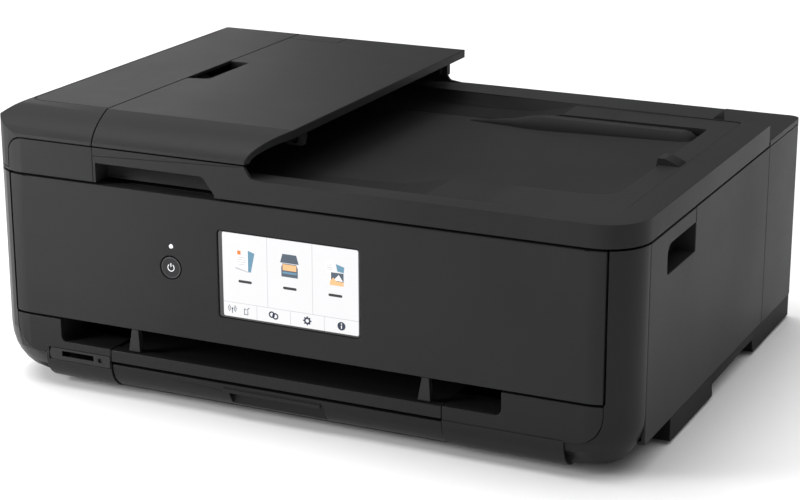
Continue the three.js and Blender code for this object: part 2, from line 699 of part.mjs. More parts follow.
// The lid's walls at the feeder's front and back sweep down to the rim at their right ends.
function lidFrame() {
  const slab = alongZ(lidPlan(0), LID.bottom, LID.top);
  const leftEdge = -(FRAME.half + 0.4);
  const cheek = outline([
    [leftEdge, LID.bottom + 4], [leftEdge, FEEDER.groove - SEAM, FEEDER.corner],
    [-32, FEEDER.groove - SEAM], [-27.5, LID.top + 0.8, 5], [-16, LID.top - 0.2], [-16, LID.bottom + 4],
  ], 6);
  const flapWall = outline([
    [FEEDER.seam + 1, LID.bottom + 4], [FEEDER.seam + 1, FLAP_WALL_TOP, 2], [-44, FLAP_WALL_TOP, 9],
    [-33, LID.top + 2, 9], [-16, LID.top - 0.2], [-16, LID.bottom + 4],
  ], 6);
  const frontWall = common(alongY(cheek, FRONT, BORDER.front), alongZ(lidPlan(0), 0, HEIGHT));
  const backWall = alongY(cheek, BORDER.back, LID.back);
  const raisedWall = alongY(flapWall, BORDER.back, LID.back);
  const inside = alongZ(borderPlan(0), LID.bottom, HEIGHT);
  const ledge = alongY(outline([
    [-160, HEIGHT], [-160, FLOOR.left], [20, FLOOR.middle], [55, FLOOR.middle + 1.6, 20],
    [88, FLOOR.ledge - 0.6, 16], [BORDER.right + 1, FLOOR.ledge + 0.1], [BORDER.right + 1, HEIGHT],
  ]), BORDER.front, BORDER.back);
  const floor = common(
    alongY(outline([
      [-160, HEIGHT], [-160, FLOOR.left], [60, FLOOR.middle], [FLOOR.right - 8, FLOOR.rightZ, 4],
      [FLOOR.right, FLOOR.ledge + 2], [FLOOR.right, HEIGHT],
    ]), FLOOR.front, FLOOR.back),
    alongZ(outline([
      [-160, FLOOR.front], [FLOOR.right, FLOOR.front, 22], [FLOOR.right, FLOOR.back, 6],
      [-160, FLOOR.back],
    ], 6), 0, HEIGHT),
  );
  const feederRoom = box(LEFT, FEEDER.room, FRONT + WALL + 1, LID.back - WALL, 158, HEIGHT);
  const cornerRoom = box(LEFT - 1, leftEdge, FRONT - 1, LID.back + 1, 153.6, HEIGHT);
  const middleFront = box(FEEDER.room - 1, -16, FRONT + WALL, BORDER.front + 1, LID.top, HEIGHT);
  const middleBack = box(leftEdge, -16, BORDER.back - 1, LID.back - WALL, LID.top, HEIGHT);
  const grip = alongY(outline([
    [GRIP.left, LID.bottom - 1], [GRIP.left, GRIP.top], [GRIP.topRight, GRIP.top, 5],
    [GRIP.right, LID.bottom + 2], [GRIP.right, LID.bottom - 1],
  ], 4), FRONT - 1, FRONT + GRIP.depth);
  const padRoom = box(-162, 147, -127, 102, LID.bottom - 1, LID.bottom + 2.4);
  const rightRoom = common(
    alongZ(lidPlan(4), 100, HEIGHT),
    box(150, RIGHT, -170, LID.rightEnd - 4, LID.bottom - 1, LID.bottom + 5.5),
  );
  const leftRoom = box(LEFT + 20, -166, -170, 120, LID.bottom - 1, LID.bottom + 3.5);
  const seamLine = box(
    FEEDER.frontSeam, FEEDER.frontSeam + 0.5, FRONT - 1, FRONT + 0.8, LID.bottom - 1, HEIGHT,
  );
  const slantLine = alongY(outline([
    [FEEDER.frontSeam, 169.6], [-34, 174.6], [-34, 175.1], [FEEDER.frontSeam, 170.1],
  ]), FRONT - 1, FRONT + 0.5);
  const body = cut(
    join(slab, frontWall, backWall, raisedWall), common(inside, join(ledge, floor)), feederRoom, cornerRoom,
    middleFront, middleBack, grip, padRoom, rightRoom, leftRoom, seamLine, slantLine,
  );
  const rib = common(
    turned([
      [0, 0], [0.8, 0], [5, 34], [8.5, 48], [10, 62], [10, 162], [9, 167], [6.5, 170.5], [0, 172],
    ], 'x', [20, 62, FLOOR.ledge - 9.6]),
    box(0, 200, 40, 80, LID.bottom + 3.5, HEIGHT),
  );
  const stop = alongY(outline([
    [194, 160], [211, 160], [211, 166.8], [201, 171], [196, 171, 1],
  ], 3), -34, -20);
  const line = cut(
    alongZ(borderPlan(0), LID.top - 1.4, HEIGHT), alongZ(borderPlan(0.7), LID.top - 2, HEIGHT),
  );
  return cut(join(body, rib, stop), line);
}

function pressurePad() {
  return box(-160, 145, -125, 100, 150.2, LID.bottom + 2);
}

// ---- Document feeder -----------------------------------------------------------------------

// The feeder seen from the side: flat on top, curving down to its front groove.
function feederProfile(inset, drop) {
  const points = [[LID.back - inset, 100], [LID.back - inset, HEIGHT - drop, 2]];
  const reach = FEEDER.crease - FRONT - inset;
  const rise = HEIGHT - FEEDER.groove - drop;
  const steps = 8;
  for (let step = 0; step <= steps; step += 1) {
    const angle = FEEDER.start + (step / steps) * (Math.PI / 2 - FEEDER.start);
    const along = (Math.sin(angle) - Math.sin(FEEDER.start)) / (1 - Math.sin(FEEDER.start));
    const up = Math.cos(angle) / Math.cos(FEEDER.start);
    points.push([FEEDER.crease - reach * along, FEEDER.groove + rise * up]);
  }
  points.push([FRONT + inset, 100]);
  return outline(points, 3);
}

// The feeder seen from the front: its left end rolls down to the side.
function feederEnd(inset) {
  const points = [[LEFT + inset, 100]];
  const steps = 8;
  for (let step = 0; step <= steps; step += 1) {
    const angle = (step / steps) * Math.PI / 2;
    points.push([
      LEFT + FEEDER.roll - (FEEDER.roll - inset) * Math.cos(angle),
      HEIGHT - FEEDER.drop + (FEEDER.drop - inset) * Math.sin(angle),
    ]);
  }
  points.push([0, HEIGHT - inset], [0, 100]);
  return alongY(outline(points), FRONT, BACK);
}

function feederShape(inset, drop) {
  return common(
    alongX(feederProfile(inset, drop), LEFT, FEEDER.frontSeam), feederEnd(inset),
    alongZ(lidPlan(inset), 100, HEIGHT + 1),
  );
}

// The seam between the cover and the flap, seen from above, as the edge of everything right of it.
function rightOfSeam(shift) {
  return alongZ(outline([
    [FEEDER.seam + shift, BACK + 1], [FEEDER.seam + shift, FEEDER.crease],
    [FEEDER.frontSeam + shift, FRONT - 0.01], [RIGHT, FRONT - 0.01], [RIGHT, BACK + 1],
  ]), 100, HEIGHT + 2);
}

function feederCover() {
  const skirtEdge = -(FRAME.half + 1.2);
  const shell = cut(feederShape(0, 0), feederShape(WALL, WALL));
  const below = alongY(outline([
    [skirtEdge, 100], [skirtEdge, FEEDER.groove + SEAM, FEEDER.corner + 0.8],
    [0, FEEDER.groove + SEAM], [0, 100],
  ]), FRONT - 1, BACK);
  const floor = box(LEFT - 1, 0, FRONT - 1, BACK, 100, 154);
  const rim = { left: -221.8, front: -144.9, back: 121, width: 0.6, corner: 10 };
  const line = alongZ(outline([
    [rim.left, rim.back], [rim.left, rim.front, rim.corner], [0, rim.front],
    [0, rim.front + rim.width], [rim.left + rim.width, rim.front + rim.width, rim.corner - rim.width],
    [rim.left + rim.width, rim.back],
  ], 5), HEIGHT - 0.9, HEIGHT + 1);
  return cut(shell, rightOfSeam(-0.3), below, floor, line);
}

function documentTray() {
  const left = FEEDER.seam - 1;
  const back = LID.back - 2;
  const plan = outline([
    [left, FRONT], [FLAP.diagonalX, FRONT], [FLAP.right, FEEDER.crease], [FLAP.right, back],
    [left, back],
  ]);
  const outer = common(
    alongX(feederProfile(0, 0), left, FLAP.right), alongZ(plan, FEEDER.groove + SEAM, HEIGHT + 1),
    rightOfSeam(0.3),
  );
  const inner = join(
    alongX(feederProfile(4.5, FLAP.thickness), left - 1, FLAP.right + 1),
    box(left - 1, FLAP.right + 1, 100, BACK, 100, HEIGHT - FLAP.thickness),
  );
  const slot = { right: -141.4, front: -42, back: 21 };
  const finger = alongZ(outline([
    [left, slot.front], [slot.right, slot.front + 4, 4], [slot.right, slot.back, 1], [left, slot.back],
  ], 4), 180, 200);
  const corner = { right: -114, front: 112, width: 0.5 };
  const line = cut(
    box(left, corner.right, corner.front, back + 1, HEIGHT - 0.5, HEIGHT + 1),
    box(left - 1, corner.right - corner.width, corner.front + corner.width, back + 2, 190, HEIGHT + 2),
  );
  const plate = cut(outer, inner, finger, line);
  const ears = [-132, 100].map((y) => box(
    -28, -16, y, y + 6, FLAP.pivotZ - 4, HEIGHT - FLAP.thickness + 0.5,
  ));
  const bore = rod(2.8, 400, 'y', [FLAP.pivotX, -200, FLAP.pivotZ], 16);
  return join(plate, ...ears.map((ear) => cut(ear, bore)));
}

// The inner feeder: the roller housing at the left, the input deck and the two flap arms.
function feederChassis() {
  const housing = box(-214, -153, -148, 124, 158.4, 183);
  const rollerRoom = box(-208, -160, -96, 66, 164, 190);
  const deck = box(-154, -60, -128, 108, 176, 178.5);
  const armSide = outline([
    [-64, 178], [-28, 178], [FLAP.pivotX + 3.4, FLAP.pivotZ - 3.4, 3],
    [FLAP.pivotX + 3.4, FLAP.pivotZ + 3.4, 3], [-64, FLAP.pivotZ + 3.4],
  ], 4);
  const arms = [-125.2, 93].map((y) => alongY(armSide, y, y + 6));
  const pins = [-131, 92].map((y) => rod(2.2, 13.5, 'y', [FLAP.pivotX, y, FLAP.pivotZ], 12));
  return join(cut(housing, rollerRoom), deck, ...arms, ...pins);
}

function feederRoller(x, z, radius) {
  const length = 160;
  const tyre = 44;
  const start = (length - tyre) / 2;
  return turned([
    [0, 0], [3, 0], [3, start], [radius, start], [radius, start + tyre], [3, start + tyre],
    [3, length], [0, length],
  ], 'y', [x, -95, z]);
}

function documentGuide(side) {
  const y = side < 0 ? -106 : 78;
  const wall = box(-142, -72, y, y + 3, 179, 186);
  const foot = box(-120, -96, y + (side < 0 ? 2 : -17), y + (side < 0 ? 20 : 1), 179, 180.6);
  return join(wall, foot);
}

// ---- Rear paper slot -----------------------------------------------------------------------

// The flap over the rear slot; its rounded rear edge is the top edge of the printer's back.
function rearTrayCover() {
  const { left, right, front, top, bottom } = REAR_COVER;
  const half = (top - bottom) / 2;
  const side = outline([[front, bottom], [front, top], [BACK, top, half], [BACK, bottom, half]], 6);
  const plan = outline([[left, front, 2], [right, front, 2], [right, BACK], [left, BACK]], 3);
  return common(alongX(side, left, right), alongZ(plan, bottom - 1, top + 1));
}

// ---- The printer ---------------------------------------------------------------------------

const material = (metalness, usual) => (color, roughness = usual) => (
  new THREE.MeshStandardMaterial({ color, roughness, metalness })
);
const plastic = material(0, 0.6);
const metal = material(1, 0.35);

const SATIN_BLACK = 0x1c1d1f;
const GRAINED_BLACK = 0x202123;
const INNER_BLACK = 0x0e0f10;
const GREY = 0x4a4c4f;
const STEEL = 0xb9bcc0;
const TANK_COLOURS = {
  pigment_black: 0x141414, yellow: 0xe8c511, cyan: 0x1496c8, magenta: 0xc4207a, photo_black: 0x202024,
};

function node(name, solid, material) {
  const mesh = new THREE.Mesh(geometryOf(solid), material);
  mesh.name = name;
  return mesh;
}

const body = new THREE.Group();
body.add(
  node('bottom_pan', bottomPan(), plastic(INNER_BLACK, 0.7)),
  node('front_column_left', frontColumn(-1), plastic(SATIN_BLACK, 0.45)),
  node('front_column_right', frontColumn(1), plastic(SATIN_BLACK, 0.45)),
  node('side_cover_left', sideCover(-1), plastic(GRAINED_BLACK)),
  node('side_cover_right', sideCover(1), plastic(GRAINED_BLACK)),
  node('rear_cover', rearCover(), plastic(GRAINED_BLACK)),
  node('front_frame_left', frontFrameLeft(), plastic(SATIN_BLACK, 0.5)),
  node('front_frame_right', frontFrame(1), plastic(SATIN_BLACK, 0.5)),
  node('card_slot_plate', cardSlotPlate(), plastic(GREY)),
  node('slot_support_left', slotSupport(-126), plastic(GREY)),
  node('slot_support_right', slotSupport(90), plastic(GREY)),
);

const mechanism = new THREE.Group();
mechanism.add(
  node('mid_frame', midFrame(), plastic(INNER_BLACK, 0.7)),
  node('carriage_rail', carriageRail(), metal(STEEL)),
  node('carriage_shaft', carriageShaft(), metal(STEEL, 0.2)),
  node('drive_belt', driveBelt(), plastic(INNER_BLACK, 0.85)),
  node('carriage_motor', carriageMotor(), metal(STEEL, 0.4)),
  node('carriage', carriage(), plastic(INNER_BLACK)),
  node('maintenance_station', maintenanceStation(), plastic(GREY, 0.8)),
  node('platen', platen(), plastic(INNER_BLACK)),
  node('paper_feed_roller', paperFeedRoller(), metal(STEEL, 0.5)),
  node('eject_roller', ejectRoller(), plastic(GREY, 0.8)),
  node('power_supply', powerSupply(), plastic(GREY, 0.7)),
  node('main_board', mainBoard(), plastic(0x1d5a35, 0.5)),
  node('power_inlet', powerInlet(), plastic(INNER_BLACK)),
  node('usb_port', usbPort(), metal(STEEL)),
);
TANKS.forEach(({ name }, index) => {
  mechanism.add(node(`ink_tank_${name}`, inkTank(index), plastic(TANK_COLOURS[name], 0.4)));
});

const feet = new THREE.Group();
[[-1, FOOT.frontY, 'front_left'], [1, FOOT.frontY, 'front_right'],
  [-1, FOOT.rearY, 'rear_left'], [1, FOOT.rearY, 'rear_right']].forEach(([side, y, place]) => {
  feet.add(node(`foot_${place}`, foot(side * FOOT.x, y), plastic(0x151515, 0.95)));
});

const panel = new THREE.Group();
panel.add(
  node('operation_panel', operationPanel(), plastic(GRAINED_BLACK)),
  node('panel_back', panelBack(), plastic(INNER_BLACK)),
  node('touch_screen', touchScreen(), plastic(0xe9ecef, 0.1)),
  node('power_button', powerButton(), plastic(GRAINED_BLACK, 0.4)),
  node('status_lamp', statusLamp(), plastic(0xf5f5f5, 0.3)),
);

const trays = new THREE.Group();
trays.add(
  node('output_tray', outputTray(), plastic(SATIN_BLACK)),
  node('cassette', cassette(), plastic(SATIN_BLACK)),
  node('cassette_guide_left', cassetteGuide(-1), plastic(GREY)),
  node('cassette_guide_right', cassetteGuide(1), plastic(GREY)),
  node('cassette_end_guide', cassetteEndGuide(), plastic(GREY)),
  node('rear_tray_cover', rearTrayCover(), plastic(GRAINED_BLACK)),
);

const scanner = new THREE.Group();
scanner.add(
  node('scanner_frame', scannerFrame(), plastic(INNER_BLACK)),
  node('hinge_pin_left', hingePin(-222), metal(STEEL)),
  node('hinge_pin_right', hingePin(175), metal(STEEL)),
  node('platen_glass', glassPane(GLASS.left, GLASS.right), plastic(0xcfe0e0, 0.05)),
  node('feeder_glass', glassPane(STRIP_GLASS.left, STRIP_GLASS.right), plastic(0xcfe0e0, 0.05)),
  node('scan_bar', scanBar(), plastic(INNER_BLACK)),
);

const lid = new THREE.Group();
lid.add(
  node('lid_frame', lidFrame(), plastic(GRAINED_BLACK)),
  node('pressure_pad', pressurePad(), plastic(0xf2f2ef, 0.8)),
  node('feeder_cover', feederCover(), plastic(GRAINED_BLACK)),
  node('document_tray', documentTray(), plastic(GRAINED_BLACK)),
  node('feeder_chassis', feederChassis(), plastic(INNER_BLACK)),
  node('pickup_roller', feederRoller(-172, 177, 8), plastic(GREY, 0.9)),
  node('separation_roller', feederRoller(-195, 176, 9), plastic(GREY, 0.9)),
  node('document_guide_front', documentGuide(-1), plastic(GREY)),
  node('document_guide_rear', documentGuide(1), plastic(GREY)),
);

const group = new THREE.Group();
group.add(body, mechanism, feet, panel, trays, scanner, lid);

export default group;
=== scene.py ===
"""Looks of a multifunction inkjet printer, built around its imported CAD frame.

Metres, +Z up, the control panel faces -Y. Lengths written in code are in millimetres and pass
through MM.
"""

import json
import math

import bmesh
import bpy
from mathutils import Matrix, Vector

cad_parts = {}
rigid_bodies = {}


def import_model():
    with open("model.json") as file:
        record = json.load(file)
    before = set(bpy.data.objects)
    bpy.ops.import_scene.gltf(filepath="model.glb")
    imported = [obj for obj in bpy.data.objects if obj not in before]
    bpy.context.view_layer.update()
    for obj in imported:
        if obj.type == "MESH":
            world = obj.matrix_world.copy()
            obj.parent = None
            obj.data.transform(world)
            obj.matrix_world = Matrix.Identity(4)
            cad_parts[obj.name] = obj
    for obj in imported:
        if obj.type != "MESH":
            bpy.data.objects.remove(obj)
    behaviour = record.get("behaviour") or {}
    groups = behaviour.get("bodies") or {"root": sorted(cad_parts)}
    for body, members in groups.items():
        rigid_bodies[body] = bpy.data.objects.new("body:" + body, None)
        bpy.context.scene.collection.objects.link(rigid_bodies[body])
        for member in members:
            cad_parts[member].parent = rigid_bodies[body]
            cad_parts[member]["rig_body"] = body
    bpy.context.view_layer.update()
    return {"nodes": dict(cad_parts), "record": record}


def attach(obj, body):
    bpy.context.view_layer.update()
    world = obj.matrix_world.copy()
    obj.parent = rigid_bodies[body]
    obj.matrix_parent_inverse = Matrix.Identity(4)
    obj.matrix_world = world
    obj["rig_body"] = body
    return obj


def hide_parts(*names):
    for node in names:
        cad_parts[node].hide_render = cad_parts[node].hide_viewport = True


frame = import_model()
NODES = frame["nodes"]
SLOT_OF = {row["node"]: row["material_slot"] for row in frame["record"]["subparts"]}

MM = 0.001
FRONT = -183.0  # plane of the panel's face

WORLD_STRENGTH = 0.2
FLOOR_DEPTH = 0.2  # how far the floor lies under the feet, so the two don't flicker
PLASTIC_IOR = 1.32
WELD = 0.002  # CAD vertices closer than this are one
FLAT_ANGLE = 0.6  # degrees: CAD faces that meet flatter than this are one face
SHARP_ANGLE = 32  # degrees: edges sharper than this are creases, and get rounded
EDGE_WIDTH = 0.3  # rounding of an edge, where EDGE names no other


# ---- Camera, light and floor ---------------------------------------------------------------

CAMERA = {
    "place": (627.04, -1335.31, 532.0), "azimuth": 25.43, "elevation": 17.31,
    "roll": -0.12, "lens": 96.26,
}


def make_camera():
    a, e, r = (math.radians(CAMERA[k]) for k in ("azimuth", "elevation", "roll"))
    back = Vector((math.sin(a) * math.cos(e), -math.cos(a) * math.cos(e), math.sin(e)))
    level = Vector((math.cos(a), math.sin(a), 0))
    upright = level.cross(-back)
    right = math.cos(r) * level + math.sin(r) * upright
    up = -math.sin(r) * level + math.cos(r) * upright
    data = bpy.data.cameras.new("camera")
    data.lens = CAMERA["lens"]
    data.sensor_width = 36
    camera = bpy.data.objects.new("camera", data)
    turn = Matrix((right, up, back)).transposed().to_4x4()
    camera.matrix_world = Matrix.Translation(Vector(CAMERA["place"]) * MM) @ turn
    bpy.context.scene.collection.objects.link(camera)
    bpy.context.scene.camera = camera


def area_light(name, place, target, size, power):
    data = bpy.data.lights.new(name, "AREA")
    data.shape = "RECTANGLE"
    data.size, data.size_y = size
    data.energy = power
    light = bpy.data.objects.new(name, data)
    direction = Vector(target) - Vector(place)
    light.location = place
    light.rotation_euler = direction.to_track_quat("-Z", "Y").to_euler()
    bpy.context.scene.collection.objects.link(light)


def broad_light(name, direction, strength, spread):
    """Light from one side that is equally strong everywhere, so the floor stays evenly pale."""
    data = bpy.data.lights.new(name, "SUN")
    data.energy = strength
    data.angle = math.radians(spread)
    light = bpy.data.objects.new(name, data)
    light.rotation_euler = Vector(direction).to_track_quat("Z", "Y").to_euler()
    bpy.context.scene.collection.objects.link(light)


def make_studio():
    world = bpy.data.worlds.new("studio")
    bpy.context.scene.world = world
    world.use_nodes = True
    world.node_tree.nodes["Background"].inputs["Color"].default_value = (1, 1, 1, 1)
    world.node_tree.nodes["Background"].inputs["Strength"].default_value = WORLD_STRENGTH
    broad_light("key", (-0.6, 0.1, 1.5), 2.1, 50)
    broad_light("fill", (0.3, 0.3, 1.5), 1.3, 70)
    area_light("left_front_softbox", (-0.95, -0.85, 0.4), (-0.2, -0.15, 0.1), (0.4, 0.7), 15)
    area_light("back_left_softbox", (-1.5, 1.5, 0.75), (-0.15, -0.05, 0.19), (1.0, 0.5), 3)
    area_light("right_strip", (0.55, -1.5, 0.5), (0.23, -0.17, 0.1), (0.1, 0.9), 1.5)

    mesh = bpy.data.meshes.new("floor")
    bm = bmesh.new()
    bmesh.ops.create_grid(bm, x_segments=2, y_segments=2, size=6.0)
    for vert in bm.verts:
        vert.co.z = -FLOOR_DEPTH * MM
    bm.to_mesh(mesh)
    bm.free()
    floor = bpy.data.objects.new("floor", mesh)
    bpy.context.scene.collection.objects.link(floor)
    mesh.materials.append(floor_material())
    bpy.context.scene.view_settings.view_transform = "Standard"


# ---- Materials -----------------------------------------------------------------------------

class Nodes:
    """A short way to write a material's node tree."""

    def __init__(self, name):
        self.material = bpy.data.materials.new(name)
        self.material.use_nodes = True
        self.tree = self.material.node_tree
        self.shader = self.tree.nodes["Principled BSDF"]

    def add(self, kind, inputs=(), **settings):
        node = self.tree.nodes.new(kind)
        for key, value in settings.items():
            setattr(node, key, value)
        for key, value in dict(inputs).items():
            self.put(value, node.inputs[key])
        return node

    def put(self, value, socket):
        if isinstance(value, bpy.types.NodeSocket):
            self.tree.links.new(value, socket)
        else:
            socket.default_value = value

    def set(self, **values):
        for key, value in values.items():
            self.put(value, self.shader.inputs[key.replace("_", " ")])

    def noise(self, scale, detail=3.0, roughness=0.55):
        place = self.add("ShaderNodeTexCoord").outputs["Object"]
        return self.add("ShaderNodeTexNoise", {
            "Vector": place, "Scale": scale, "Detail": detail, "Roughness": roughness,
        }).outputs["Fac"]

    def spread(self, value, low, high, start=0.3, end=0.7):
        return self.add("ShaderNodeMapRange", {
            "Value": value, "From Min": start, "From Max": end, "To Min": low, "To Max": high,
        }).outputs["Result"]

    def inside(self, low, high, blend=0.0002):
        """1 inside a box in the object's own space, 0 outside it."""
        place = self.add("ShaderNodeTexCoord").outputs["Object"]
        axes = self.add("ShaderNodeSeparateXYZ", {"Vector": place}).outputs
        factor = 1.0
        for axis, start, end in zip("XYZ", low, high):
            for edge, a, b in ((start, 0, 1), (end, 1, 0)):
                step = self.spread(axes[axis], a, b, edge - blend / 2, edge + blend / 2)
                product = self.add("ShaderNodeMath", {0: factor, 1: step}, operation="MULTIPLY")
                factor = product.outputs[0]
        return factor

    def mix(self, factor, a, b):
        node = self.add("ShaderNodeMix", data_type="RGBA")
        self.put(factor, node.inputs[0])
        self.put(a, node.inputs[6])
        self.put(b, node.inputs[7])
        return node.outputs[2]


def rgb(value, alpha=1.0):
    return (*value, alpha) if not isinstance(value, float) else (value, value, value, alpha)


def moulded(name, colour, roughness, grain=2600, bump=0.3, edge=1.6, spread=0.16,
            specular=0.5, sunken=None):
    """Moulded plastic: fine eroded grain, uneven gloss, and a painted highlight that makes every
    edge a little lighter.

    Inside the box `sunken` (metres, a low and a high corner) the finish is duller.
    """
    m = Nodes(name)
    cloud = m.noise(9, 4)
    speck = m.noise(grain, 2, 0.6)
    base = m.mix(m.spread(cloud, 0, 1), rgb([c * (1 - spread) for c in colour]),
                 rgb([c * (1 + spread) for c in colour]))
    base = m.mix(m.spread(speck, 0, 0.55, 0.35, 0.75), base, rgb([c * 1.7 for c in colour]))
    soft = m.add("ShaderNodeBevel", {"Radius": 0.00035}, samples=4).outputs["Normal"]
    flat = m.add("ShaderNodeNewGeometry").outputs["Normal"]
    facing = m.add("ShaderNodeVectorMath", {0: soft, 1: flat}, operation="DOT_PRODUCT")
    # Painted highlight: along every edge, where the rounded normal turns from the flat one, the
    # colour is lightened by the factor edge, patchy with noise.
    edge_highlight_mask = m.spread(facing.outputs["Value"], 1, 0, 0.86, 0.985)
    painted_edge_highlight = m.add("ShaderNodeMath", {0: edge_highlight_mask, 1: m.spread(m.noise(60, 3), 0.25, 0.9)},
                operation="MULTIPLY")
    base = m.mix(painted_edge_highlight.outputs[0], base, rgb([c * edge for c in colour]))
    gloss = m.add("ShaderNodeMath", {
        0: m.spread(cloud, roughness - 0.04, roughness + 0.04),
        1: m.spread(speck, -0.05, 0.05),
    }, operation="ADD").outputs[0]
    if sunken:
        dull = m.spread(m.inside(*sunken), 0, 0.8, 0, 1)
        gloss = m.add("ShaderNodeMath", {0: gloss, 1: dull}, operation="MAXIMUM").outputs[0]
    relief = m.add("ShaderNodeBump", {
        "Height": speck, "Normal": soft, "Strength": bump, "Distance": 0.00006,
    }).outputs["Normal"]
    m.set(Base_Color=base, Roughness=gloss, Normal=relief)
    m.shader.inputs["Specular IOR Level"].default_value = specular
    m.shader.inputs["IOR"].default_value = PLASTIC_IOR
    return m.material


def rubber(name, colour=(0.02, 0.02, 0.02)):
    m = Nodes(name)
    dust = m.noise(300, 4)
    m.set(Base_Color=m.mix(m.spread(dust, 0, 1), rgb(colour), rgb([c * 2.2 for c in colour])),
          Roughness=m.spread(dust, 0.75, 0.95))
    m.put(m.add("ShaderNodeBump", {"Height": m.noise(1400, 2), "Strength": 0.3, "Distance": 0.0001})
          .outputs["Normal"], m.shader.inputs["Normal"])
    m.shader.inputs["Specular IOR Level"].default_value = 0.25
    return m.material


def steel(name, stretch=(2, 900, 900), colour=0.56, roughness=0.3):
    m = Nodes(name)
    place = m.add("ShaderNodeTexCoord").outputs["Object"]
    drawn = m.add("ShaderNodeVectorMath", {0: place, 1: stretch}, operation="MULTIPLY")
    lines = m.add("ShaderNodeTexNoise", {
        "Vector": drawn.outputs["Vector"], "Scale": 1.0, "Detail": 4.0,
    }).outputs["Fac"]
    m.set(Base_Color=m.mix(m.spread(lines, 0, 1), rgb(colour * 0.85), rgb(colour * 1.1)),
          Metallic=1.0, Roughness=m.spread(lines, roughness - 0.06, roughness + 0.1))
    m.put(m.add("ShaderNodeBump", {"Height": lines, "Strength": 0.15, "Distance": 0.00005})
          .outputs["Normal"], m.shader.inputs["Normal"])
    return m.material


def glossy(name, colour, roughness=0.12, coat=0.0):
    m = Nodes(name)
    smear = m.noise(35, 4)
    m.set(Base_Color=m.mix(m.spread(smear, 0, 1), rgb([c * 0.92 for c in colour]), rgb(colour)),
          Roughness=m.spread(smear, roughness * 0.8, roughness * 1.3))
    m.shader.inputs["Coat Weight"].default_value = coat
    return m.material


def clear_glass(name, colour=(0.82, 0.9, 0.88)):
    m = Nodes(name)
    smear = m.noise(30, 3)
    m.set(Base_Color=m.mix(m.spread(smear, 0, 1), rgb(colour), rgb([c * 1.03 for c in colour])),
          Roughness=m.spread(smear, 0.02, 0.06), Alpha=0.35)
    m.shader.inputs["IOR"].default_value = 1.5
    return m.material


def lit(name, colour, strength=1.0):
    """A part of the lit display: it shines, with a faint unevenness of the backlight."""
    m = Nodes(name)
    glow = m.noise(25, 2)
    shade = m.mix(m.spread(glow, 0, 1), rgb([c * 0.985 for c in colour]), rgb(colour))
    m.set(Base_Color=rgb([c * 0.05 for c in colour]), Emission_Color=shade,
          Emission_Strength=strength, Roughness=m.spread(glow, 0.1, 0.16))
    return m.material


def circuit_board(name):
    m = Nodes(name)
    place = m.add("ShaderNodeTexCoord").outputs["Object"]
    cells = m.add("ShaderNodeTexVoronoi", {"Vector": place, "Scale": 260.0}, distance="CHEBYCHEV")
    tracks = m.spread(cells.outputs["Distance"], 1, 0, 0.1, 0.3)
    m.set(Base_Color=m.mix(tracks, rgb((0.012, 0.09, 0.04)), rgb((0.03, 0.17, 0.07))),
          Roughness=m.spread(m.noise(200), 0.3, 0.5))
    return m.material


def floor_material():
    m = Nodes("floor_paper")
    tone = m.noise(1.5, 2)
    m.set(Base_Color=m.mix(tone, rgb(0.9), rgb(0.93)), Roughness=m.spread(tone, 0.6, 0.7))
    m.shader.inputs["Specular IOR Level"].default_value = 0.1
    return m.material


GRAINED = (0.0165, 0.0168, 0.0172)
LID_POCKET = ((-0.17, -0.1655, 0.15), (0.2131, 0.1105, 0.1661))  # metres, a box round it


def make_materials():
    return {
        "grained": moulded("grained_black", GRAINED, 0.46, bump=0.35, specular=0.2),
        "lid": moulded("grained_black_lid", GRAINED, 0.46, bump=0.35, specular=0.2,
                       sunken=LID_POCKET),
        "satin": moulded("satin_black", (0.0105, 0.0107, 0.011), 0.33, grain=3200, bump=0.15,
                         spread=0.08, specular=0.3),
        # The inner parts are matt black plastic, with the colour made darker still than the outer
        # shell as painted shade for the cavities they sit in.
        "inner": moulded("inner_black", (0.003, 0.003, 0.0034), 0.6, bump=0.25, specular=0.3),
        "grey": moulded("grey_plastic", (0.012, 0.0124, 0.013), 0.45, bump=0.2, specular=0.42),
        "belt": rubber("belt_rubber", (0.012, 0.012, 0.012)),
        "rubber": rubber("foot_rubber"),
        "roller": rubber("roller_rubber", (0.07, 0.07, 0.075)),
        "steel": steel("brushed_steel"),
        "button": moulded("button_black", (0.009, 0.009, 0.01), 0.34, bump=0.1),
        "lamp": lit("lamp_white", (0.9, 0.92, 0.95), 1.3),
        "bezel": glossy("bezel_glass", (0.004, 0.004, 0.005), 0.06, 0.5),
        "glass": clear_glass("scan_glass"),
        "pad": moulded("pad_foam", (0.8, 0.8, 0.78), 0.85, grain=900, bump=0.2, edge=1.0,
                       spread=0.03),
        "board": circuit_board("circuit_green"),
        "tank_black": glossy("tank_pigment_black", (0.008, 0.008, 0.008), 0.2),
        "tank_yellow": glossy("tank_yellow", (0.80, 0.56, 0.02), 0.2),
        "tank_cyan": glossy("tank_cyan", (0.01, 0.30, 0.58), 0.2),
        "tank_magenta": glossy("tank_magenta", (0.55, 0.02, 0.20), 0.2),
        "tank_photo": glossy("tank_photo_black", (0.02, 0.02, 0.025), 0.2),
    }


M = make_materials()

MATERIAL_OF_SLOT = {
    "satin_black": "satin", "grained_black": "grained", "inner_black": "inner",
    "belt_rubber": "belt",
    "foot_rubber": "rubber", "roller_rubber": "roller", "grey_trim": "grey", "steel": "steel",
    "button_black": "button", "lamp_white": "lamp", "screen": "bezel", "scan_glass": "glass",
    "pad_white": "pad", "circuit_green": "board", "tank_pigment_black": "tank_black",
    "tank_yellow": "tank_yellow", "tank_cyan": "tank_cyan", "tank_magenta": "tank_magenta",
    "tank_photo_black": "tank_photo",
}


# ---- Mesh helpers --------------------------------------------------------------------------

def new_piece(name, mesh, body, material):
    piece = bpy.data.objects.new(name, mesh)
    bpy.context.scene.collection.objects.link(piece)
    mesh.materials.clear()
    mesh.materials.append(material)
    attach(piece, body)
    return piece


